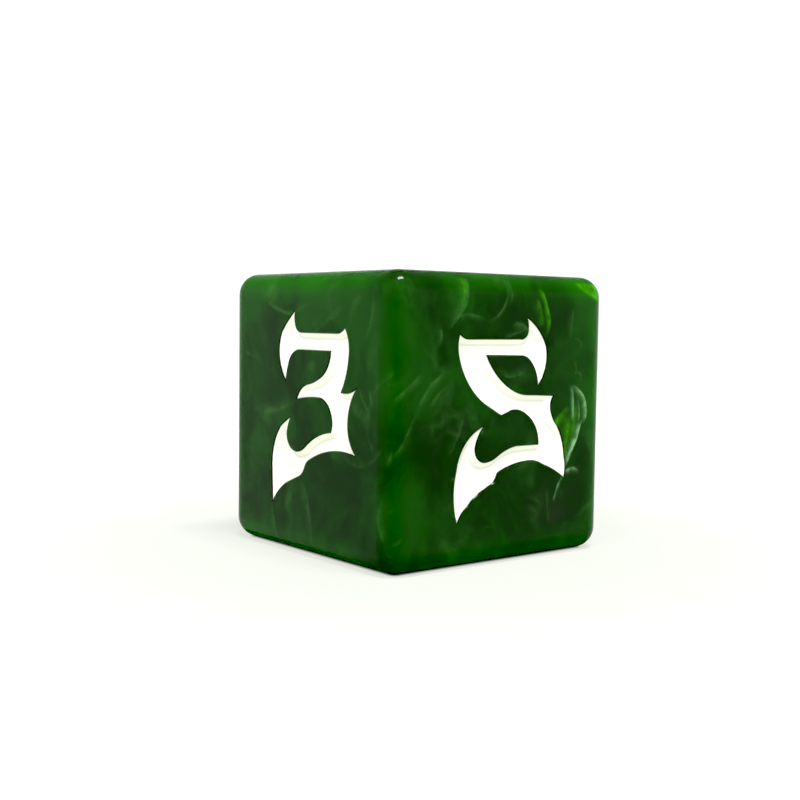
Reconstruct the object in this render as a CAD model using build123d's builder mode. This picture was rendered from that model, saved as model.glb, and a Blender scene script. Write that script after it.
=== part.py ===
"""A numbered six-sided die, 16 mm across, moulded in one piece, with a painted numeral sunk into each face.

Frame: the die stands on its 6, with the origin at the middle of that face, +Z up through the 1.
The 3 faces -Y and the 5 faces +X.  Opposite faces add up to seven.
"""

import os

from build123d import *

# Driving dimensions, in millimetres and degrees
SIDE = 16.0  # across opposite faces
EDGE_RADIUS = 1.25  # the rounding of all twelve edges
RECESS_DEPTH = 0.45  # from a face down to the floor of its numeral
WALL_ANGLE = 35.0  # how far a recess wall leans out from the face's normal
PAINT_THICKNESS = 0.08  # of the paint film, measured square to the face

# Numeral outlines, as seen from outside the die, from the middle of a face: right, then up.
# Each outline starts at the tip of its top spike and runs clockwise.  (x, y) is a straight run to
# that point, and (mx, my, x, y) is an arc through (mx, my) to (x, y).
ONE = [
    (0.75, 6.00),
    # back of the stem, with the foot's right spike
    (0.62, 5.30, 1.00, 4.55), (0.84, 0.60, 1.00, -3.25), (1.50, -3.55, 2.45, -3.58), (2.45, -3.76),
    # pointed foot
    (1.35, -4.35, 0.70, -4.95), (0.18, -5.40, -0.15, -5.95), (-0.62, -5.05, -1.30, -4.60),
    (-1.75, -4.40, -2.25, -4.34), (-2.27, -4.16),
    # front of the stem, up to the flag
    (-1.40, -3.70, -0.95, -3.00), (-0.78, 0.00, -0.95, 2.85),
    # flag
    (-1.80, 2.75, -2.75, 2.05), (-2.60, 3.55, -1.60, 4.40), (-0.20, 4.95, 0.75, 6.00),
]

TWO = [
    (-1.90, 5.90),
    # top bar
    (-1.96, 5.45, -1.75, 5.05), (-1.52, 4.72, -1.10, 4.62), (2.20, 4.60), (2.80, 4.68, 3.35, 5.00),
    # shoulder, and the outside of the diagonal
    (3.85, 3.00, 2.55, 0.85), (-0.05, -1.45), (-0.50, -1.95, -0.80, -2.55),
    # bottom bar, with the spike at its right end
    (2.10, -2.60), (2.95, -2.25, 3.60, -1.35), (4.05, -2.60, 3.65, -3.95), (2.60, -4.25, 1.20, -3.95),
    (-2.10, -4.25, -3.20, -5.50),
    # inside of the diagonal
    (-2.75, -2.73, -1.10, -0.45), (1.40, 1.72), (1.93, 2.48, 2.05, 3.40),
    # underside of the top bar, and its left hook
    (-1.60, 3.42), (-2.40, 3.00, -2.80, 1.60), (-3.40, 3.00, -3.20, 4.40), (-2.70, 5.20, -1.90, 5.90),
]

THREE = [
    (-1.00, 5.86),
    # top bar
    (-1.07, 5.45, -1.00, 5.05), (-0.83, 4.75, -0.45, 4.60), (2.95, 4.60), (3.40, 4.68, 3.76, 4.94),
    # outside of the upper bowl
    (4.13, 4.20, 4.15, 3.30), (3.93, 2.35, 3.47, 1.42),
    # forked spikes at the waist
    (4.20, 1.45, 5.00, 1.82), (4.38, 0.95, 4.11, -0.20), (4.27, -1.08, 4.90, -1.92),
    # underside of the lower bowl, down to the tail
    (2.70, -1.84, 0.45, -2.53), (0.17, -2.74, 0.02, -3.02), (-0.20, -3.32, -0.55, -3.55),
    (-1.75, -4.02), (-2.55, -4.52, -3.30, -5.38),
    # back of the tail, up to its hook
    (-3.40, -3.10), (-3.18, -1.92, -2.50, -0.83), (-1.93, -0.47, -1.36, -0.18),
    # inside of the lower bowl
    (-1.68, -0.75, -1.80, -1.25), (-1.52, -1.86, -0.85, -2.15), (-0.35, -2.04, 0.10, -1.76),
    (0.60, -1.43), (1.45, -1.04, 2.53, -0.80), (2.42, 0.38, 1.50, 1.00),
    # tongue between the bowls
    (0.30, 0.97, -0.84, 0.80), (-0.42, 1.40, 0.15, 1.70), (0.82, 1.86, 1.45, 2.12), (2.10, 2.64, 2.45, 3.60),
    # underside of the top bar, and its left hook
    (-0.60, 3.60), (-1.30, 3.36, -1.68, 2.80), (-1.84, 2.32, -1.93, 1.78),
    (-2.66, 3.10, -2.42, 4.58), (-1.80, 5.22, -1.00, 5.86),
]

FOUR = [
    (0.55, 5.95),
    # inside of the slanting stroke, and the crossbar up to the stem
    (0.15, 3.70, -0.75, 1.95), (-1.45, 0.80, -1.75, -0.50), (0.95, -0.50),
    # stem above the crossbar
    (0.84, 1.20, 0.95, 2.45), (1.35, 3.25, 2.45, 3.85), (2.30, 1.60, 2.40, -0.50),
    # right end of the crossbar
    (3.10, -0.42), (3.75, -0.15, 4.20, 0.60), (4.45, -0.75, 4.05, -2.00), (3.30, -1.82, 2.38, -1.85),
    # stem below the crossbar
    (2.30, -3.20, 2.45, -4.20), (1.60, -4.90, 1.15, -5.95), (0.72, -4.30, 0.92, -1.85),
    # left hook of the crossbar, and the outside of the slanting stroke
    (-2.50, -1.85), (-3.35, -2.05, -4.15, -2.95), (-4.25, -1.75, -3.65, -0.60),
    (-2.70, 0.70, -1.95, 2.30), (-1.05, 4.50, 0.55, 5.95),
]

FIVE = [
    (-3.49, 4.70),
    # top bar, with the spike at its right end
    (-3.20, 4.48, -2.80, 4.40), (0.95, 4.40), (1.42, 4.55, 1.55, 4.95), (1.54, 5.28, 1.42, 5.62),
    (2.38, 4.92, 3.00, 4.00), (3.03, 3.00, 2.36, 1.72),
    # underside of the top bar, and the neck
    (2.17, 2.62, 1.75, 3.20), (1.42, 3.40, 1.00, 3.46), (-1.52, 3.50), (-0.62, 2.32, 0.60, 1.52),
    # shoulder spike, and the outside of the bowl
    (1.05, 1.37, 1.60, 1.30), (3.68, 1.21), (3.45, 0.75, 3.48, 0.30), (3.66, -0.12, 4.00, -0.52),
    (4.42, -1.35, 4.62, -2.30), (4.73, -2.95, 4.64, -3.58),
    # underside of the bowl, down to the tail
    (3.90, -3.12, 2.90, -2.70), (2.35, -2.48, 1.80, -2.42), (0.70, -2.53, -0.40, -2.86),
    (-0.58, -2.95, -0.66, -3.12), (-0.82, -3.38, -1.05, -3.55), (-2.05, -4.02),
    (-2.45, -4.32, -2.75, -4.62), (-3.22, -5.05, -3.50, -5.55),
    # back of the tail, up to its hook
    (-3.77, -4.20, -3.60, -2.60), (-2.90, -1.10, -1.58, -0.28),
    # inside of the bowl
    (-2.02, -0.83, -2.26, -1.45), (-2.05, -2.08, -1.45, -2.30), (-1.05, -2.22, -0.60, -2.00),
    (0.10, -1.67, 0.80, -1.51), (2.50, -1.52), (2.28, -0.58, 1.55, 0.18),
    (0.95, 0.44, 0.40, 0.46), (0.02, 0.32, -0.38, 0.20),
    # back of the neck
    (-1.65, 0.88), (-2.95, 2.15, -3.57, 3.60), (-3.60, 4.15, -3.49, 4.70),
]

SIX = [
    (1.10, 6.00),
    # flag, and the inside of the back stroke
    (2.35, 5.55, 3.35, 4.55), (2.20, 3.85, 0.90, 3.95), (-0.87, 3.74, -1.70, 2.20), (-1.70, 1.55),
    # top and outside of the bowl
    (0.20, 1.90), (1.70, 2.10, 2.70, 2.85), (3.95, -0.45, 2.80, -3.75), (1.79, -4.54, 0.55, -4.85),
    # pointed foot
    (-0.15, -5.25, -0.60, -6.00), (-1.30, -5.00, -2.60, -4.45),
    # outside of the back stroke
    (-3.64, 0.52, -1.20, 5.00), (0.10, 5.30, 1.10, 6.00),
]

# The island of resin that stands inside the bowl of the 6
SIX_COUNTER = [
    (-1.75, 0.20),
    (-0.30, 0.62, 1.30, 0.75), (1.80, -0.90, 1.45, -2.45), (0.20, -3.25, -1.05, -3.25),
    (-1.75, -1.90, -1.75, 0.20),
]

# Planes of the faces, each looking outwards, with its x axis to the right of an upright numeral
MIDDLE = SIDE / 2
TOP = Plane(origin=(0, 0, SIDE), x_dir=(1, 0, 0), z_dir=(0, 0, 1))
BOTTOM = Plane(origin=(0, 0, 0), x_dir=(1, 0, 0), z_dir=(0, 0, -1))
FRONT = Plane(origin=(0, -MIDDLE, MIDDLE), x_dir=(1, 0, 0), z_dir=(0, -1, 0))
BACK = Plane(origin=(0, MIDDLE, MIDDLE), x_dir=(-1, 0, 0), z_dir=(0, 1, 0))
RIGHT = Plane(origin=(MIDDLE, 0, MIDDLE), x_dir=(0, 1, 0), z_dir=(1, 0, 0))
LEFT = Plane(origin=(-MIDDLE, 0, MIDDLE), x_dir=(0, -1, 0), z_dir=(-1, 0, 0))

# Face value, its plane, the numeral's outline and the island inside it
FACES = [
    (1, TOP, ONE, None),
    (2, LEFT, TWO, None),
    (3, FRONT, THREE, None),
    (4, BACK, FOUR, None),
    (5, RIGHT, FIVE, None),
    (6, BOTTOM, SIX, SIX_COUNTER),
]


def draw_outline(steps):
    """Draw an outline's straight runs and arcs in the BuildLine around this call."""
    start = steps[0]
    for step in steps[1:]:
        end = step[-2:]
        if len(step) == 2:
            Line(start, end)
        else:
            ThreePointArc(start, step[:2], end)
        start = end


def recess_shape(outline, island):
    """The space that a numeral's recess takes up, with its rim in the XY plane and its floor below."""
    with BuildPart() as recess:
        with BuildSketch():
            with BuildLine():
                draw_outline(outline)
            make_face()
        # A clockwise outline with a taper grows down from its plane, and narrows as it goes
        extrude(amount=RECESS_DEPTH, taper=WALL_ANGLE)
        if island:
            with BuildSketch():
                with BuildLine():
                    draw_outline(island)
                make_face()
            # The island widens towards its root, as the recess around it narrows
            extrude(amount=-RECESS_DEPTH, taper=-WALL_ANGLE, mode=Mode.SUBTRACT)
    return recess.part


recesses = [(face, recess_shape(outline, island)) for value, face, outline, island in FACES]

# The moulded body: a cube with rounded edges, less the six recesses
with BuildPart() as die_body:
    Box(SIDE, SIDE, SIDE, align=(Align.CENTER, Align.CENTER, Align.MIN))
    fillet(die_body.edges(), radius=EDGE_RADIUS)
    for face, recess in recesses:
        with Locations(face.location):
            add(recess, mode=Mode.SUBTRACT)

die_body.part.label = "die_body"
os.makedirs("parts", exist_ok=True)
export_step(die_body.part, "parts/die_body.step")

# The paint in each numeral: a film over the floor and walls of its recess, flush with the face at the rim
for (value, face, outline, island), (face, recess) in zip(FACES, recesses):
    with BuildPart() as paint:
        with Locations(face.location):
            add(recess)
        with Locations(face.offset(PAINT_THICKNESS).location):
            add(recess, mode=Mode.SUBTRACT)
    paint.part.label = f"numeral_{value}_paint"
    export_step(paint.part, f"parts/numeral_{value}_paint.step")
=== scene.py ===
"""Looks for a numbered six-sided die: marbled green resin, white painted numerals, a plain white studio."""

import math

import bmesh
import bpy
import numpy as np
from mathutils import Matrix, Vector, noise
from mathutils.bvhtree import BVHTree
from mathutils.geometry import delaunay_2d_cdt


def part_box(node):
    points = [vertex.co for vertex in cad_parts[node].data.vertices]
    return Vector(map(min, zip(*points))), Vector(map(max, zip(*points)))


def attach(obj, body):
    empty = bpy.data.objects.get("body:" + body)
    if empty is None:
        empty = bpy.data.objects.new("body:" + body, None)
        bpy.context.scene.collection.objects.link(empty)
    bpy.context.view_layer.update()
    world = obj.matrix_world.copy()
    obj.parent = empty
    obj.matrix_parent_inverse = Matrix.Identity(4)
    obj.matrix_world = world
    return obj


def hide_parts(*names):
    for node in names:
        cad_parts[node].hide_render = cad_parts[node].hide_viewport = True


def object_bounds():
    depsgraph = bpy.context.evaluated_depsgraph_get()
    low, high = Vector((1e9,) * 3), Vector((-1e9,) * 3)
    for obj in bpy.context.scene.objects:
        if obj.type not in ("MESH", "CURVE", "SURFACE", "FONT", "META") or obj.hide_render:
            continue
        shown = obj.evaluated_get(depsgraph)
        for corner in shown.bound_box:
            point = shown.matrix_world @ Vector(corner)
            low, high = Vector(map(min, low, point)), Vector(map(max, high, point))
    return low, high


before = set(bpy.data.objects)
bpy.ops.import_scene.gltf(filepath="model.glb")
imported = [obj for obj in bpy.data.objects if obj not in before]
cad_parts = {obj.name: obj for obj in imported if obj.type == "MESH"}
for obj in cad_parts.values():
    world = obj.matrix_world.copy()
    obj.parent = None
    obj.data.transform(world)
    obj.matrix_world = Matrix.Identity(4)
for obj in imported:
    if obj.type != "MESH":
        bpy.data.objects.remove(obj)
cad_low, cad_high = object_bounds()

MM = 0.001  # one millimetre in metres
CENTRE = (cad_low + cad_high) / 2
HALF_MM = (cad_high.x - cad_low.x) / 2 / MM  # from the die's middle to a face

# Camera: where it stands, seen from the die's middle, and which way it looks.  Azimuths run from the 3
# towards the 5.  Angles are in degrees, and the lens is in millimetres.
CAMERA_AZIMUTH = 50.78
CAMERA_ELEVATION = 4.35
CAMERA_DISTANCE = 71.2 * MM
LOOK_AZIMUTH = 51.51
LOOK_ELEVATION = 3.91
CAMERA_ROLL = 0.77
LENS = 53.2
SENSOR = 36.0

# Stage
FLOOR_RADIUS = 0.25
FLOOR_SIDES = 96
FLOOR_DROP = 0.01 * MM  # of the floor below the die
SHADE_DROP = 0.008 * MM  # of the shade sheet, which lies on the floor
SHADE_HALF = 7.8 * MM  # from the middle of the shade sheet to its sides
FLAT_HALF = 6.75 * MM  # from the middle of the die's underside to where its rounded edges start
BACKDROP_LEVEL = 1.3  # brightness of the surround where the camera sees it
DIM_AZIMUTH = 50.0  # the middle of the dimmer part of the surround
LAMP_DISTANCE = 0.6

# Display: tones under the black level print black, and the white level prints white
BLACK_LEVEL = 0.035
WHITE_LEVEL = 1.18

# Brushed paint, in millimetres
GRID = 0.075  # between the points of a paint film
ROW_STEP = 0.866  # between the rows of its triangular grid, as a part of GRID
RIM_CLEARANCE = 0.9  # from the outline to the nearest grid point, as a part of GRID
RIM_TOLERANCE = 1e-3  # how near the die's face an edge of the CAD film counts as its rim
BARE_RIM = 0.05  # how far below a face its paint starts
SPIKE_DEPTH = 0.015  # how far the paint's back lies below its rim in the narrow end of a spike
THINNEST_PAINT = 0.02
BACK_GAP = 0.002  # of the paint's back from the recess
WALL_SLOPE = math.tan(math.radians(35.0))  # of a recess wall, sideways for each millimetre down
RELAX_STEPS = 4  # how far the paint has run into the corners
RELAX_SHARE = 0.6  # of a point's height that comes from its neighbours in each step
WAVE_SCALE = 0.9
WAVE_HEIGHT = 0.012

# Colours, linear
RESIN_DARK = (0.0145, 0.035, 0.0125, 1)
RESIN_DEEP = (0.0210, 0.036, 0.0175, 1)
RESIN_MID = (0.019, 0.070, 0.015, 1)
# painted shade, for the rim round the numerals and the underside of the lowest edges
RESIN_PAINTED_SHADE = (0.004, 0.012, 0.003, 1)
# painted glow along the edges, where light shines through the resin
RESIN_EDGE_GLOW = (0.020, 0.128, 0.012, 1)
WISP_PALE = (0.075, 0.220, 0.055, 1)
WISP_BRIGHT = (0.060, 0.300, 0.010, 1)
WISP_PEARL = (0.270, 0.550, 0.250, 1)
PAINT_WHITE = (0.86, 0.86, 0.83, 1)
# partly the paint's own tone, and partly painted shade on the walls
PAINT_CREAM = (0.87, 0.89, 0.73, 1)
PAINT_SHADE = (0.60, 0.60, 0.47, 1)
PAINT_PIT = (0.30, 0.29, 0.24, 1)
FLOOR_WHITE = (0.17, 0.17, 0.163, 1)
# the floor's glow, painted light
FLOOR_GLOW = (0.965, 1.0, 0.92, 1)
SHADE_GREEN = (0.02, 0.03, 0.02, 1)
SHADE_GLOW = (0.8, 1.0, 0.7, 1)

# Wisps: three points of an arc on a face, across and up from its middle in millimetres, then how far the
# wisp spreads outwards and inwards of the arc, and how strong it is.  Those of the 3 show on the 4 and the 1
# as well, and those of the 5 on the 2 and the 6.
PALE_ON_3 = [
    ((-4.5, 6.7), (-2.0, 5.7), (0.8, 6.4), 0.10, 0.35, 0.34),
    ((6.35, 6.8), (6.15, 5.6), (5.7, 4.2), 0.30, 0.20, 0.40),
    ((5.3, 6.9), (4.6, 6.0), (4.3, 5.0), 0.30, 0.50, 0.22),
    ((6.2, 1.4), (7.1, 2.1), (8.3, 3.4), 0.10, 0.35, 0.30),
    ((5.1, 1.7), (5.45, 1.1), (5.9, 0.5), 0.10, 0.25, 0.40),
    ((5.9, 1.7), (6.15, 1.25), (6.2, 0.8), 0.08, 0.20, 0.34),
    ((-5.6, 0.0), (-3.0, 0.1), (-0.5, 0.8), 0.30, 0.60, 0.26),
    ((-6.6, 3.4), (-5.6, 3.05), (-4.9, 3.0), 0.12, 0.35, 0.22),
    ((7.3, -3.8), (6.85, -4.6), (7.4, -6.2), 0.12, 0.50, 0.42),
    ((7.3, -4.55), (7.8, -4.6), (8.4, -4.5), 0.12, 0.20, 0.50),
    ((7.4, -6.6), (7.7, -6.9), (8.1, -6.6), 0.08, 0.25, 0.34),
    ((7.6, -7.0), (7.85, -7.3), (8.0, -7.0), 0.07, 0.20, 0.55),
    ((7.9, -7.5), (7.7, -7.2), (7.9, -6.9), 0.07, 0.20, 0.55),
    ((7.3, -2.4), (7.7, -1.3), (8.4, 0.2), 0.12, 0.30, 0.34),
    ((-3.3, -5.1), (-3.05, -6.2), (-2.8, -7.5), 0.08, 0.60, 0.24),
    ((-0.6, -3.4), (0.5, -5.0), (0.7, -7.6), 0.08, 0.90, 0.24),
    ((3.0, -1.2), (6.2, -2.2), (7.6, -0.4), 0.10, 0.50, 0.14),
    ((5.74, 4.12), (5.80, 4.18), (5.86, 4.12), 0.06, 0.06, 3.0),
]
PALE_ON_5 = [
    ((-2.95, 8.2), (-3.05, 6.6), (-4.4, 4.8), 0.10, 0.90, 0.46),
    ((-3.7, 5.5), (-2.6, 5.75), (-1.55, 5.3), 0.10, 0.45, 0.36),
    ((-1.7, 5.3), (-0.55, 5.95), (-0.25, 8.1), 0.22, 0.10, 0.42),
    ((0.1, 7.9), (0.28, 7.0), (0.1, 6.0), 0.10, 0.30, 0.30),
    ((0.2, 4.9), (0.9, 5.2), (1.55, 4.5), 0.12, 0.55, 0.34),
    ((-0.4, 4.5), (0.5, 4.62), (1.3, 4.95), 0.10, 0.25, 0.28),
    ((-8.2, -2.6), (-7.2, -0.8), (-6.1, 1.1), 0.10, 0.30, 0.36),
    ((-6.5, 0.7), (-5.5, 1.9), (-4.4, 2.8), 0.12, 0.40, 0.50),
    ((-8.2, 0.7), (-7.3, 1.6), (-6.0, 2.7), 0.12, 0.35, 0.36),
    ((-5.6, 0.6), (-5.1, 1.4), (-4.2, 1.9), 0.10, 0.40, 0.30),
    ((-4.9, 5.0), (-4.8, 4.5), (-5.0, 4.0), 0.08, 0.20, 0.34),
    ((5.25, 4.3), (5.6, 4.35), (5.7, 3.8), 0.08, 0.20, 0.18),
    ((5.2, 3.3), (5.45, 2.75), (5.3, 2.3), 0.08, 0.20, 0.20),
    ((5.25, 2.4), (5.6, 2.55), (5.5, 1.9), 0.08, 0.20, 0.20),
    ((4.9, 6.4), (5.1, 5.3), (4.9, 4.2), 0.10, 0.60, 0.24),
    ((-1.0, 2.9), (0.2, 2.35), (1.4, 2.6), 0.10, 0.40, 0.30),
    ((3.1, -3.9), (3.2, -5.0), (3.5, -6.3), 0.08, 0.30, 0.26),
    ((-4.1, -3.2), (-3.8, -3.0), (-3.3, -2.9), 0.08, 0.20, 0.34),
    ((-1.8, -6.1), (-1.2, -5.75), (-0.6, -5.95), 0.08, 0.30, 0.12),
    ((-7.9, -5.9), (-7.5, -6.2), (-7.2, -5.8), 0.08, 0.25, 0.34),
    ((-3.1, 0.6), (-3.4, -0.6), (-4.3, -1.9), 0.10, 0.70, 0.22),
    ((4.04, -6.0), (4.10, -5.94), (4.16, -6.0), 0.06, 0.06, 3.0),
]
BRIGHT_ON_5 = [
    ((2.1, 7.2), (3.10, 6.0), (2.9, 4.5), 0.12, 0.40, 0.85),
    ((2.0, 6.6), (2.60, 5.9), (2.65, 5.0), 0.12, 0.60, 0.55),
    ((5.4, 7.6), (6.6, 6.9), (7.7, 6.8), 0.20, 0.80, 1.20),
    ((5.8, 8.1), (6.8, 7.4), (7.8, 7.6), 0.35, 0.70, 1.10),
    ((3.7, -1.2), (4.15, 0.0), (5.1, 0.5), 0.15, 0.55, 0.70),
    ((4.9, 0.2), (4.8, -1.2), (4.5, -2.6), 0.30, 0.80, 0.62),
    ((5.5, 0.9), (5.35, -0.6), (5.0, -1.8), 0.25, 0.60, 0.50),
    ((-3.4, 8.0), (-3.2, 7.0), (-3.6, 6.0), 0.30, 0.40, 0.45),
]
PEARL_ON_5 = [
    ((4.95, 1.85), (5.20, 0.8), (5.30, -0.4), 0.10, 0.25, 0.85),
    ((4.9, 1.7), (6.0, 1.3), (6.05, -0.6), 0.07, 0.50, 0.95),
    ((5.5, 1.2), (5.75, 0.4), (5.65, -0.5), 0.06, 0.20, 0.45),
    ((6.10, -0.2), (5.50, -1.5), (4.60, -3.0), 0.09, 0.50, 0.90),
    ((5.5, -1.2), (5.05, -2.0), (4.8, -2.7), 0.10, 0.30, 0.50),
    ((4.60, -3.20), (5.15, -3.05), (5.85, -3.25), 0.10, 0.32, 0.80),
    ((4.5, -3.3), (4.1, -4.0), (3.7, -4.9), 0.07, 0.22, 0.40),
]
DARK_ON_5 = [
    ((2.1, -5.1), (1.95, -6.4), (0.9, -7.5), 0.10, 0.50, 0.60),
]

WISP_OUTER = 0.6  # steepness of a wisp's outer side
WISP_INNER = -0.7  # and of its inner side

# Zones of lighter, greener resin, and of darker resin: a point in millimetres from the die's middle, the
# zone's radius, and how much it lightens.  The two at the far top corners are partly painted glow, where
# light comes through the resin, and the darker ones on the 5 are partly painted shade that evens out the
# stronger lamp light on it.
ZONES = [
    ((8.0, -8.0, 4.0), 4.5, 0.08), ((8.0, -8.0, -4.5), 4.0, 0.34), ((8.0, -6.5, 1.5), 3.0, 0.04),
    ((-8.0, -8.0, 8.0), 6.0, 0.22), ((8.0, 8.0, 8.0), 5.0, 0.3), ((8.0, 7.5, 2.0), 3.2, 0.18),
    ((8.0, 7.0, -6.0), 3.5, 0.14), ((8.0, -3.8, 6.5), 1.8, 0.2), ((5.0, -8.0, 5.5), 3.0, 0.1),
    ((-0.5, -8.0, 6.8), 3.5, 0.26), ((-4.5, -8.0, 6.8), 3.0, 0.16), ((0.0, -8.0, -5.0), 5.5, -0.05),
    ((-1.0, -8.0, -1.0), 5.0, 0.08), ((8.0, -2.5, -2.0), 5.0, -0.24),
    ((8.0, -1.2, 6.6), 1.8, -0.16), ((8.0, 3.0, -5.0), 4.0, -0.18), ((8.0, 0.0, 3.0), 4.0, -0.12),
    ((8.0, -5.5, 0.0), 5.0, -0.12),
]


class Nodes:
    """Short names for adding shader nodes to one tree."""

    def __init__(self, tree):
        self.tree = tree

    def add(self, kind, inputs=None, **settings):
        node = self.tree.nodes.new(kind)
        for name, value in settings.items():
            setattr(node, name, value)
        for key, value in (inputs or {}).items():
            self.plug(node.inputs[key], value)
        return node

    def plug(self, socket, value):
        if isinstance(value, bpy.types.NodeSocket):
            self.tree.links.new(value, socket)
        else:
            socket.default_value = value

    def math(self, operation, *values, clamp=False):
        node = self.add("ShaderNodeMath", dict(enumerate(values)), operation=operation, use_clamp=clamp)
        return node.outputs[0]

    def product(self, first, *others):
        for other in others:
            first = self.math("MULTIPLY", first, other)
        return first

    def vector(self, operation, *values):
        node = self.add("ShaderNodeVectorMath", operation=operation)
        for index, value in enumerate(values):
            self.plug(node.inputs[index], value)
        return node.outputs["Value" if operation in ("LENGTH", "DISTANCE", "DOT_PRODUCT") else "Vector"]

    def scaled(self, vector, factor):
        node = self.add("ShaderNodeVectorMath", {0: vector, "Scale": factor}, operation="SCALE")
        return node.outputs[0]

    def combine(self, x, y):
        return self.add("ShaderNodeCombineXYZ", {0: x, 1: y, 2: 0.0}).outputs[0]

    def split(self, vector):
        return self.add("ShaderNodeSeparateXYZ", {0: vector}).outputs

    def noise(self, vector, scale, detail=2.0, roughness=0.5, output="Fac"):
        inputs = {"Vector": vector, "Scale": scale, "Detail": detail, "Roughness": roughness}
        return self.add("ShaderNodeTexNoise", inputs).outputs[output]

    def wander(self, vector, scale, detail, reach):
        """vector, shifted smoothly by up to half of reach each way."""
        shift = self.vector("SUBTRACT", self.noise(vector, scale, detail, output="Color"), (0.5, 0.5, 0.5))
        return self.vector("ADD", vector, self.scaled(shift, reach))

    def smooth(self, value, low, high, to_low=0.0, to_high=1.0):
        """value taken smoothly from low..high to to_low..to_high."""
        inputs = {"Value": value, "From Min": low, "From Max": high, "To Min": to_low, "To Max": to_high}
        return self.add("ShaderNodeMapRange", inputs, interpolation_type="SMOOTHSTEP").outputs[0]

    def blend(self, factor, a, b):
        """Colour a where factor is 0, and b where it is 1."""
        return self.add("ShaderNodeMix", {0: factor, 6: a, 7: b}, data_type="RGBA").outputs[2]

    def choose(self, factor, a, b):
        """Vector a where factor is 0, and b where it is 1."""
        return self.add("ShaderNodeMix", {0: factor, 4: a, 5: b}, data_type="VECTOR").outputs[1]


class DiePoint:
    """The shaded point in millimetres from the die's middle.

    height is 8 all over the faces, and second is 8 only along the edges.
    """

    def __init__(self, n):
        place = n.add("ShaderNodeTexCoord").outputs["Object"]
        self.p = n.scaled(n.vector("SUBTRACT", place, CENTRE), 1 / MM)
        self.x, self.y, self.z = n.split(self.p)
        self.ax, self.ay, self.az = (n.math("ABSOLUTE", c) for c in (self.x, self.y, self.z))
        widest = n.math("MAXIMUM", self.ax, self.ay)
        self.height = n.math("MAXIMUM", widest, self.az)
        narrower = n.math("MINIMUM", self.ax, self.ay)
        self.second = n.math("MAXIMUM", narrower, n.math("MINIMUM", widest, self.az))


def new_material(name):
    material = bpy.data.materials.new(name)
    material.use_nodes = True
    material.node_tree.nodes.clear()
    n = Nodes(material.node_tree)
    shader = n.add("ShaderNodeBsdfPrincipled")
    output = n.add("ShaderNodeOutputMaterial")
    material.node_tree.links.new(shader.outputs[0], output.inputs["Surface"])
    return material, n, shader


def arc_through(first, middle, last):
    """Centre, radius, direction from the centre to the arc's middle, and cosine of half its angle."""
    (ax, ay), (bx, by), (cx, cy) = first, middle, last
    d = 2 * (ax * (by - cy) + bx * (cy - ay) + cx * (ay - by))
    a2, b2, c2 = ax * ax + ay * ay, bx * bx + by * by, cx * cx + cy * cy
    centre = Vector(((a2 * (by - cy) + b2 * (cy - ay) + c2 * (ay - by)) / d,
                     (a2 * (cx - bx) + b2 * (ax - cx) + c2 * (bx - ax)) / d, 0))
    start = (Vector((ax, ay, 0)) - centre).normalized()
    stop = (Vector((cx, cy, 0)) - centre).normalized()
    inside = Vector((bx, by, 0)) - centre
    toward = (start + stop).normalized()
    if toward.dot(inside) < 0:
        toward = -toward
    return centre, inside.length, toward, toward.dot(start)


def wisp_group():
    """A node group for one wisp: a curved streak, crisp on its outer side, that fades to its two ends."""
    tree = bpy.data.node_groups.new("wisp", "ShaderNodeTree")
    for name in ("Point", "Centre", "Toward"):
        tree.interface.new_socket(name, in_out="INPUT", socket_type="NodeSocketVector")
    for name in ("Radius", "End", "Outer", "Inner", "Strength"):
        tree.interface.new_socket(name, in_out="INPUT", socket_type="NodeSocketFloat")
    tree.interface.new_socket("Amount", in_out="OUTPUT", socket_type="NodeSocketFloat")
    n = Nodes(tree)
    given = n.add("NodeGroupInput").outputs
    spoke = n.vector("SUBTRACT", given["Point"], given["Centre"])
    length = n.vector("LENGTH", spoke)
    off = n.math("SUBTRACT", length, given["Radius"])
    across = n.math("MAXIMUM", n.product(off, given["Outer"]), n.product(off, given["Inner"]))
    along = n.math("DIVIDE", n.vector("DOT_PRODUCT", spoke, given["Toward"]), length)
    # steep at the arc itself, with a long thin tail
    profile = n.math("POWER", n.math("SUBTRACT", 1.0, across, clamp=True), 3.0)
    amount = n.product(profile, n.smooth(along, given["End"], 1.0), given["Strength"])
    n.add("NodeGroupOutput", {"Amount": amount})
    return tree


def sum_of_wisps(n, group, point, wisps):
    """The sum of the wisps at a point on a face."""
    total = 0.0
    for first, middle, last, outer, inner, strength in wisps:
        centre, radius, toward, end = arc_through(first, middle, last)
        inputs = {"Point": point, "Centre": centre, "Toward": toward, "Radius": radius, "End": end,
                  "Outer": WISP_OUTER / outer, "Inner": WISP_INNER / inner, "Strength": strength}
        wisp = n.add("ShaderNodeGroup", node_tree=group)
        for key, value in inputs.items():
            n.plug(wisp.inputs[key], value)
        total = n.math("ADD", total, wisp.outputs[0])
    return total


def zone_level(n, at, warped):
    """How light and green the resin is, from drifting zones, the placed ones and clouds."""
    level = n.noise(warped, 0.15, 3.0, 0.55)
    for place, radius, lift in ZONES:
        near = n.smooth(n.vector("DISTANCE", at.p, place), radius, 0.0, 0.0, lift)
        level = n.math("ADD", level, near)
    clouds = n.noise(n.vector("MULTIPLY", warped, (1.0, 1.0, 0.55)), 0.55, 5.0, 0.6)
    return n.math("ADD", level, n.smooth(clouds, 0.30, 0.70, -0.09, 0.09))


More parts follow.
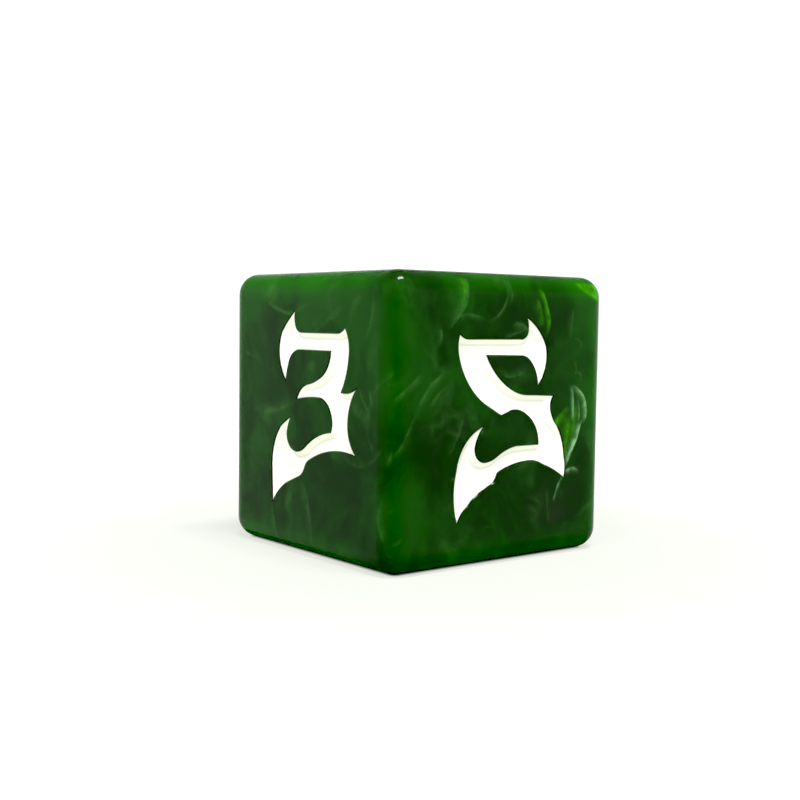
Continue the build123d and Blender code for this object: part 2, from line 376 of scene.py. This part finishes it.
def painted_edge_glow(n, at, warped):
    """How far the resin is lightened along the die's edges, as a painted glow where light gets through it."""
    glow = n.smooth(at.second, 6.0, 7.7)
    # hardly at all along the upright edge between the 3 and the 5
    from_edge = n.math("ABSOLUTE", n.math("SUBTRACT", at.x, HALF_MM))
    from_edge = n.math("ADD", from_edge, n.math("ADD", at.y, HALF_MM))
    glow = n.product(glow, n.smooth(from_edge, 0.5, 7.0, 0.12, 1.0))
    # half as much along the top of the 5, but not at its far corner
    above = n.product(n.smooth(at.z, 5.5, 6.8), n.smooth(at.y, 6.5, 4.0), n.smooth(at.x, 6.6, 7.6, 0.0, 0.5))
    glow = n.product(glow, n.math("SUBTRACT", 1.0, above))
    patchy = n.smooth(n.noise(warped, 0.35, 4.0, 0.6), 0.36, 0.58, 0.62, 1.05)
    # painted light: stronger towards the top, where the light comes from
    return n.product(glow, patchy, n.smooth(at.z, -8.0, 8.0, 0.42, 0.80))


def painted_resin_shade(n, at):
    """Where the resin is painted dark as shade: the bare rim round a numeral's paint, where the recess wall
    lies in shade, and under the lowest edges, a painted contact shade.
    """
    sunk = n.smooth(at.height, HALF_MM - 0.012, HALF_MM - 0.002, 1.0, 0.0)
    sunk = n.product(sunk, n.smooth(at.second, 6.6, 6.7, 1.0, 0.0))
    # painted shade under the lowest edges, where they turn towards the floor
    foot = n.product(n.smooth(at.z, -7.72, -7.84), n.smooth(at.second, 6.6, 6.75), 0.8)
    return n.math("MAXIMUM", sunk, foot)


def fine_folds(n, at, warped):
    """Thin pale folds in patches, on every face."""
    ridge = n.math("ABSOLUTE", n.math("SUBTRACT", n.noise(warped, 0.30, 2.0, 0.45), 0.5))
    line = n.math("POWER", n.smooth(ridge, 0.0, 0.13, 1.0, 0.0), 2.0)
    return n.product(line, n.smooth(n.noise(at.p, 0.33, 1.0), 0.45, 0.70, 0.0, 0.20))


def facing(n, depth, *others):
    """1 on the pair of faces that are furthest out along depth, and 0 elsewhere."""
    return n.smooth(n.math("SUBTRACT", depth, n.math("MAXIMUM", *others)), -0.1, 0.2)


def on_3_4_and_1(n, at, swirled):
    """The swirled point in the plane of the 3, the 4 or the 1, and how far it is on one of them."""
    x, y, z = n.split(swirled)
    top = n.math("GREATER_THAN", at.z, n.math("MAXIMUM", at.ax, at.ay))
    up = n.product(z, n.math("SIGN", n.product(at.y, -1.0)))
    point = n.choose(top, n.combine(x, up), n.combine(n.product(y, -1.0), x))
    on_top = n.product(facing(n, at.az, at.ax, at.ay), top)
    return point, n.math("MAXIMUM", facing(n, at.ay, at.ax, at.az), on_top)


def on_5_2_and_6(n, at, swirled):
    """The swirled point in the plane of the 5, the 2 or the 6, and how far it is on one of them."""
    x, y, z = n.split(swirled)
    bottom = n.math("LESS_THAN", at.z, n.product(n.math("MAXIMUM", at.ax, at.ay), -1.0))
    up = n.product(z, n.math("SIGN", at.x))
    point = n.choose(bottom, n.combine(y, up), n.combine(x, y))
    on_bottom = n.product(facing(n, at.az, at.ax, at.ay), bottom)
    return point, n.math("MAXIMUM", facing(n, at.ax, at.ay, at.az), on_bottom)


def add_streaks(n, at, warped, colour):
    """The colour with the wisps and folds over it, all broken up like smoke."""
    swirled = n.wander(at.p, 0.55, 1.0, 0.45)
    smoke = n.product(n.smooth(n.noise(warped, 0.8, 3.0, 0.6), 0.30, 0.62, 0.45, 1.1),
                      n.smooth(n.noise(swirled, 2.2, 3.0, 0.6), 0.32, 0.66, 0.45, 1.1))
    group = wisp_group()
    point_3, on_3 = on_3_4_and_1(n, at, swirled)
    point_5, on_5 = on_5_2_and_6(n, at, swirled)
    pale = n.math("ADD", n.product(sum_of_wisps(n, group, point_3, PALE_ON_3), on_3),
                  n.product(sum_of_wisps(n, group, point_5, PALE_ON_5), on_5))
    pale = n.math("ADD", pale, fine_folds(n, at, warped))
    dark, bright, pearl = (n.product(sum_of_wisps(n, group, point_5, wisps), on_5)
                           for wisps in (DARK_ON_5, BRIGHT_ON_5, PEARL_ON_5))
    for amount, streak in ((dark, RESIN_DARK), (pale, WISP_PALE), (bright, WISP_BRIGHT), (pearl, WISP_PEARL)):
        colour = n.blend(n.math("MULTIPLY", amount, smoke, clamp=True), colour, streak)
    return colour


def resin_material():
    material, n, shader = new_material("marbled_resin_shader")
    at = DiePoint(n)
    warped = n.wander(at.p, 0.16, 2.0, 9.0)
    level = zone_level(n, at, warped)
    colour = n.blend(n.smooth(level, 0.34, 0.76), RESIN_DARK, RESIN_MID)
    colour = n.blend(n.smooth(level, 0.36, 0.12), colour, RESIN_DEEP)
    # painted glow along the edges
    colour = n.blend(painted_edge_glow(n, at, warped), colour, RESIN_EDGE_GLOW)
    colour = add_streaks(n, at, warped, colour)
    # painted shade round the numerals and along the foot
    colour = n.blend(painted_resin_shade(n, at), colour, RESIN_PAINTED_SHADE)
    n.plug(shader.inputs["Base Color"], colour)
    n.plug(shader.inputs["Roughness"], n.smooth(n.noise(at.p, 1.4, 4.0, 0.6), 0.35, 0.70, 0.055, 0.12))
    shader.inputs["IOR"].default_value = 1.5
    shader.inputs["Specular IOR Level"].default_value = 0.12
    shader.inputs["Subsurface Weight"].default_value = 1.0
    shader.inputs["Subsurface Radius"].default_value = (0.25, 1.0, 0.15)
    shader.inputs["Subsurface Scale"].default_value = 1.2 * MM
    return material


def pinholes(n, at):
    """Rare small holes in the paint, darkest at their middle."""
    cell = n.add("ShaderNodeTexVoronoi", {"Vector": at.p, "Scale": 1.05, "Randomness": 1.0})
    rare = n.math("GREATER_THAN", n.split(cell.outputs["Color"])[0], 0.62)
    return n.product(n.smooth(cell.outputs["Distance"], 0.035, 0.075, 0.8, 0.0), rare)


def paint_material():
    """White on the recess floors, cream up the walls, most on the walls that face down as painted shade, with
    a line of painted shade at the foot of the upper ones.
    """
    material, n, shader = new_material("numeral_paint_shader")
    at = DiePoint(n)
    lean = n.split(n.add("ShaderNodeTexCoord").outputs["Normal"])[2]  # below 0 where the paint looks down
    # cream on the walls: partly the paint's own tone, partly painted shade, strongest where the wall faces
    # down
    wall = n.smooth(at.height, HALF_MM - 0.36, HALF_MM - 0.22)
    wall = n.product(wall, n.smooth(lean, 0.1, -0.5, 0.35, 1.0), 0.75)
    cloudy = n.smooth(n.noise(at.p, 1.3, 3.0, 0.6), 0.35, 0.65, -0.15, 0.35)
    colour = n.blend(n.math("ADD", wall, cloudy, clamp=True), PAINT_WHITE, PAINT_CREAM)
    foot = n.product(n.smooth(at.height, HALF_MM - 0.372, HALF_MM - 0.350),
                     n.smooth(at.height, HALF_MM - 0.335, HALF_MM - 0.26, 0.50, 0.0),
                     n.smooth(lean, -0.02, -0.25))
    colour = n.blend(foot, colour, PAINT_SHADE)
    colour = n.blend(pinholes(n, at), colour, PAINT_PIT)
    n.plug(shader.inputs["Base Color"], colour)
    n.plug(shader.inputs["Roughness"], n.smooth(n.noise(at.p, 4.0, 3.0), 0.3, 0.7, 0.42, 0.62))
    grain = n.math("ADD", n.noise(at.p, 9.0, 3.0, 0.6), n.product(n.noise(at.p, 2.2, 2.0), 1.5))
    bump = n.add("ShaderNodeBump", {"Strength": 0.35, "Distance": 0.02 * MM, "Height": grain})
    n.plug(shader.inputs["Normal"], bump.outputs[0])
    shader.inputs["Specular IOR Level"].default_value = 0.4
    return material


class Face:
    """The plane of the die's face that a numeral is in: across and up lie in it, and outward leaves it."""

    def __init__(self, name):
        low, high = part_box(name)
        middle = (low + high) / 2 - CENTRE
        axis = max(range(3), key=lambda k: abs(middle[k]))
        self.outward = Vector((0, 0, 0))
        self.outward[axis] = math.copysign(1, middle[axis])
        self.across = Vector((0, 1, 0)) if axis == 0 else Vector((1, 0, 0))
        self.up = self.outward.cross(self.across)

    def spot(self, place):
        """The spot on the plane under a place on the die."""
        return Vector((place.dot(self.across), place.dot(self.up)))

    def place(self, spot, height):
        """The place on the die that is at a height over a spot on the plane."""
        return self.across * spot[0] + self.up * spot[1] + self.outward * height


def cad_film(name):
    """The CAD paint film as a bmesh, in millimetres from the die's middle."""
    mesh = bmesh.new()
    mesh.from_mesh(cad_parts[name].data)
    for vertex in mesh.verts:
        vertex.co = (vertex.co - CENTRE) / MM
    bmesh.ops.remove_doubles(mesh, verts=mesh.verts, dist=1e-4)
    mesh.normal_update()
    return mesh


def rim_edges(mesh, face):
    """The outline of a paint film: the edges where its rim meets the wall of the recess."""
    edges = []
    for edge in mesh.edges:
        at_face = all(abs(v.co.dot(face.outward) - HALF_MM) < RIM_TOLERANCE for v in edge.verts)
        if len(edge.link_faces) == 2 and at_face:
            if min(side.normal.dot(face.outward) for side in edge.link_faces) < -0.1:
                edges.append(edge)
    return edges


def outline_points(edges, face):
    """Spots along the outline, at most GRID apart, the pairs of them that join, and their ways inward."""
    spots, pairs, inward, found = [], [], [], {}

    def index(spot):
        key = (round(spot.x, 4), round(spot.y, 4))
        if key not in found:
            found[key] = len(spots)
            spots.append(spot)
            inward.append(Vector((0, 0)))
        return found[key]

    for edge in edges:
        a, b = (face.spot(v.co) for v in edge.verts)
        parts = max(1, math.ceil((b - a).length / GRID))
        stops = [index(a.lerp(b, k / parts)) for k in range(parts + 1)]
        pairs += list(zip(stops, stops[1:]))
        rim_face = max(edge.link_faces, key=lambda side: side.normal.dot(face.outward))
        square = Vector((a.y - b.y, b.x - a.x)).normalized()
        if square.dot(face.spot(rim_face.calc_center_median()) - a) < 0:
            square = -square
        for k in stops:
            inward[k] += square
    return spots, pairs, [way.normalized() for way in inward]


def grid_points(spots, pairs):
    """A triangular grid over the outline's box, less the spots that lie too near the outline."""
    ends = np.array([(spots[a][:], spots[b][:]) for a, b in pairs])
    start, run = ends[:, 0], ends[:, 1] - ends[:, 0]
    low, high = ends.min((0, 1)), ends.max((0, 1))
    grid = []
    for row, y in enumerate(np.arange(low[1], high[1], GRID * ROW_STEP)):
        for x in np.arange(low[0] + GRID / 2 * (row % 2), high[0], GRID):
            grid.append((x, y))
    keep = []
    for chunk in np.array_split(np.array(grid), 24):  # in parts, because each takes a table of distances
        away = chunk[:, None] - start[None]
        t = np.clip((away * run).sum(2) / (run ** 2).sum(1), 0, 1)
        gap = np.linalg.norm(away - t[..., None] * run, axis=2).min(1)
        keep.append(chunk[gap > GRID * RIM_CLEARANCE])
    return [Vector(spot) for spot in np.concatenate(keep)]


class Film:
    """One numeral's paint: triangles between spots on its face, each with a front and a back height."""

    def __init__(self, mesh, face):
        rim, pairs, inward = outline_points(rim_edges(mesh, face), face)
        spots = rim + grid_points(rim, pairs)
        self.spots, _, triangles, source, _, _ = delaunay_2d_cdt(spots, pairs, [], 0, 1e-6)
        self.on_rim = [any(k < len(rim) for k in origin) for origin in source]
        tree = BVHTree.FromBMesh(mesh)

        def height_from(spot, side):
            """Height at which a ray from the front, 1, or the back, -1, meets the CAD film."""
            hit = tree.ray_cast(face.place(spot, HALF_MM + side), face.outward * -side)[0]
            return None if hit is None else hit.dot(face.outward)

        inner = list(zip(self.spots, self.on_rim))
        self.front = [HALF_MM if on_rim else height_from(spot, 1.0) for spot, on_rim in inner]
        self.back = [HALF_MM if on_rim else height_from(spot, -1.0) for spot, on_rim in inner]
        for k, origin in enumerate(source):
            if self.on_rim[k]:
                self.spots[k] = self.spots[k] + inward[min(origin)] * BARE_RIM * WALL_SLOPE
                self.front[k] = self.back[k] = HALF_MM - BARE_RIM
        self.triangles = []
        for triangle in triangles:
            middle = sum((self.spots[k] for k in triangle), Vector((0, 0))) / 3
            if height_from(middle, 1.0) is not None and all(self.front[k] is not None for k in triangle):
                self.triangles.append(triangle)

    def split_spikes(self):
        """Puts a spot on every side that crosses from rim to rim, so that a narrow spike has two surfaces."""
        def sides(triangle):
            return [(a, b) if a < b else (b, a) for a, b in zip(triangle, [*triangle[1:], triangle[0]])]

        uses, halfway, whole = {}, {}, []
        first_new = len(self.spots)
        for triangle in self.triangles:
            for side in sides(triangle):
                uses[side] = uses.get(side, 0) + 1
        for (a, b), count in uses.items():
            if count == 2 and self.on_rim[a] and self.on_rim[b]:
                halfway[a, b] = len(self.spots)
                self.spots.append((self.spots[a] + self.spots[b]) / 2)
                self.front.append(HALF_MM - BARE_RIM)
                self.back.append(HALF_MM - BARE_RIM - SPIKE_DEPTH)
                self.on_rim.append(False)
        for triangle in self.triangles:
            ring = []
            for corner, side in zip(triangle, sides(triangle)):
                ring += [corner, halfway[side]] if side in halfway else [corner]
            if len(ring) == 3 and all(self.on_rim[k] for k in ring):
                continue
            first = next((k for k, spot in enumerate(ring) if spot >= first_new), 0)
            fan = ring[first:] + ring[:first]
            whole += [[fan[0], fan[k], fan[k + 1]] for k in range(1, len(fan) - 1)]
        self.triangles = whole

    def relax(self, face):
        """Lets the front sink into the corners of the recess, with slight waves."""
        used = sorted({k for triangle in self.triangles for k in triangle})
        near = {k: set() for k in used}
        for a, b, c in self.triangles:
            near[a] |= {b, c}
            near[b] |= {a, c}
            near[c] |= {a, b}
        level = {k: self.front[k] for k in used}
        for _ in range(RELAX_STEPS):
            level = {k: level[k] if self.on_rim[k] else
                     level[k] * (1 - RELAX_SHARE)
                     + RELAX_SHARE * sum(level[m] for m in sorted(near[k])) / len(near[k]) for k in used}
        for k in used:
            if not self.on_rim[k]:
                wave = noise.noise(face.place(self.spots[k], HALF_MM) * WAVE_SCALE) * WAVE_HEIGHT
                level[k] = min(max(level[k] + wave, self.back[k] + THINNEST_PAINT), HALF_MM - BARE_RIM * 0.5)
        return level

    def to_mesh(self, name, face):
        level = self.relax(face)
        made = bmesh.new()

        def add_point(k, height):
            return made.verts.new(CENTRE + face.place(self.spots[k], height) * MM)

        top = {k: add_point(k, level[k]) for k in level}
        under = {k: top[k] if self.on_rim[k] else add_point(k, self.back[k] + BACK_GAP) for k in level}
        for triangle in self.triangles:
            made.faces.new([top[k] for k in triangle]).smooth = True
            made.faces.new([under[k] for k in reversed(triangle)])
        bmesh.ops.recalc_face_normals(made, faces=made.faces)
        result = bpy.data.meshes.new(name)
        made.to_mesh(result)
        made.free()
        return result


def paint_piece(name, material):
    """Paint as brushed into a numeral: the CAD film with a front that pools in the corners of the recess."""
    face = Face(name)
    mesh = cad_film(name)
    film = Film(mesh, face)
    mesh.free()
    film.split_spikes()
    result = film.to_mesh(name + "_brushed", face)
    result.materials.append(material)
    piece = bpy.data.objects.new(name + "_brushed", result)
    bpy.context.scene.collection.objects.link(piece)
    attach(piece, "root")
    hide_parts(name)


def direction(azimuth, elevation):
    """The way out from the die at an azimuth and an elevation in degrees."""
    a, e = math.radians(azimuth), math.radians(elevation)
    return Vector((math.sin(a) * math.cos(e), -math.cos(a) * math.cos(e), math.sin(e)))


def add_camera():
    camera = bpy.data.objects.new("camera", bpy.data.cameras.new("camera"))
    bpy.context.scene.collection.objects.link(camera)
    bpy.context.scene.camera = camera
    back = direction(LOOK_AZIMUTH, LOOK_ELEVATION)
    right = (-back).cross(Vector((0, 0, 1))).normalized()
    up = right.cross(-back)
    roll = math.radians(CAMERA_ROLL)
    right, up = right * math.cos(roll) + up * math.sin(roll), up * math.cos(roll) - right * math.sin(roll)
    place = CENTRE + direction(CAMERA_AZIMUTH, CAMERA_ELEVATION) * CAMERA_DISTANCE
    turn = Matrix((right, up, back)).transposed().to_4x4()
    camera.matrix_world = Matrix.Translation(place) @ turn
    camera.data.sensor_width = SENSOR
    camera.data.lens = LENS
    camera.data.clip_start = 1 * MM
    camera.data.clip_end = 10.0


def add_sheet(name, corners, colour, specular, glow):
    """A flat matt sheet of the stage, and what its glow is set with."""
    mesh = bpy.data.meshes.new(name)
    mesh.from_pydata(corners, [], [range(len(corners))])
    sheet = bpy.data.objects.new(name, mesh)
    bpy.context.scene.collection.objects.link(sheet)
    material, n, shader = new_material(name + "_shader")
    shader.inputs["Base Color"].default_value = colour
    shader.inputs["Roughness"].default_value = 0.9
    shader.inputs["Specular IOR Level"].default_value = specular
    shader.inputs["Emission Color"].default_value = glow
    mesh.materials.append(material)
    return sheet, n, shader.inputs["Emission Strength"]


def add_floor():
    """A pale disc that glows softly as painted light on the floor, less near the die and hardly at all under
    its rounded edges, as a painted shadow.
    """
    z = cad_low.z - FLOOR_DROP
    turns = [math.tau * k / FLOOR_SIDES for k in range(FLOOR_SIDES)]
    ring = [(FLOOR_RADIUS * math.cos(turn), FLOOR_RADIUS * math.sin(turn), z) for turn in turns]
    floor, n, strength = add_sheet("floor", ring, FLOOR_WHITE, 0.1, FLOOR_GLOW)
    place = n.add("ShaderNodeTexCoord").outputs["Object"]
    # how far outside the flat part of the die's underside, a square
    outside = n.vector("SUBTRACT", n.vector("ABSOLUTE", place), (FLAT_HALF, FLAT_HALF, 0.0))
    outside = n.vector("MULTIPLY", n.vector("MAXIMUM", outside, (0.0, 0.0, 0.0)), (1.0, 1.0, 0.0))
    # painted contact shadow under the die's rounded edges
    shade = n.smooth(n.vector("LENGTH", outside), 0.15 * MM, 0.62 * MM, 0.05, 1.0)
    # painted shade: the glow is dimmer near the die
    glow = n.smooth(n.vector("LENGTH", place), 12 * MM, 50 * MM, 0.82, 1.40)
    n.plug(strength, n.product(glow, shade))
    floor.visible_glossy = False


def add_shade_sheet():
    """A dark sheet under the die, seen only in its reflections, where it stands for the shaded floor."""
    z = cad_low.z - SHADE_DROP
    reach = SHADE_HALF
    corners = [(-reach, -reach, z), (reach, -reach, z), (reach, reach, z), (-reach, reach, z)]
    sheet, _, strength = add_sheet("shade_sheet", corners, SHADE_GREEN, 0.0, SHADE_GLOW)
    strength.default_value = 0.065
    sheet.visible_camera = False
    sheet.visible_diffuse = False
    sheet.visible_shadow = False
    sheet.visible_transmission = False


def add_light(name, toward, width, height, power, mirrored):
    """A rectangular lamp that faces the die.  mirrored is whether it shows in reflections."""
    data = bpy.data.lights.new(name, "AREA")
    data.shape = "RECTANGLE"
    data.size, data.size_y = width, height
    data.energy = power
    light = bpy.data.objects.new(name, data)
    bpy.context.scene.collection.objects.link(light)
    toward = Vector(toward).normalized()
    light.location = CENTRE + toward * LAMP_DISTANCE
    light.rotation_mode = "QUATERNION"
    light.rotation_quaternion = toward.to_track_quat("Z", "Y")
    light.visible_glossy = mirrored


def add_world():
    """A pale surround, brightest above the horizon and dimmer on one side, and plain white to the camera."""
    world = bpy.data.worlds.new("studio")
    bpy.context.scene.world = world
    world.use_nodes = True
    world.node_tree.nodes.clear()
    n = Nodes(world.node_tree)
    way = n.add("ShaderNodeTexCoord").outputs["Generated"]
    dim = n.smooth(n.vector("DOT_PRODUCT", way, direction(DIM_AZIMUTH, 0.0)), 0.75, 0.98)
    z = n.split(way)[2]
    level = n.product(n.smooth(z, 0.1, 0.6, 1.25, 0.30), n.smooth(z, -0.80, -0.26, 0.04, 1.0),
                      n.math("SUBTRACT", 1.0, n.product(dim, 0.5)))
    seen = n.add("ShaderNodeLightPath").outputs["Is Camera Ray"]
    unseen = n.math("SUBTRACT", 1.0, seen)
    strength = n.math("ADD", n.product(level, unseen), n.product(seen, BACKDROP_LEVEL))
    background = n.add("ShaderNodeBackground", {"Color": (1, 1, 1, 1), "Strength": strength})
    output = n.add("ShaderNodeOutputWorld")
    world.node_tree.links.new(background.outputs[0], output.inputs["Surface"])


def set_display():
    """Clips the darkest and the brightest tones."""
    settings = bpy.context.scene.view_settings
    settings.view_transform = "Standard"
    settings.use_curve_mapping = True
    settings.curve_mapping.black_level = (BLACK_LEVEL,) * 3
    settings.curve_mapping.white_level = (WHITE_LEVEL,) * 3
    settings.curve_mapping.update()


resin = resin_material()
paint = paint_material()
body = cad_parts["die_body"]
body.data.materials.clear()
body.data.materials.append(resin)
for value in range(1, 7):
    paint_piece(f"numeral_{value}_paint", paint)

add_camera()
add_floor()
add_shade_sheet()
add_world()
add_light("overhead_lamp", (0.270, -0.030, 0.95), 225 * MM, 105 * MM, power=4.8, mirrored=True)
add_light("front_softbox", (0.58, -0.64, 0.52), 560 * MM, 500 * MM, power=3.5, mirrored=False)
set_display()
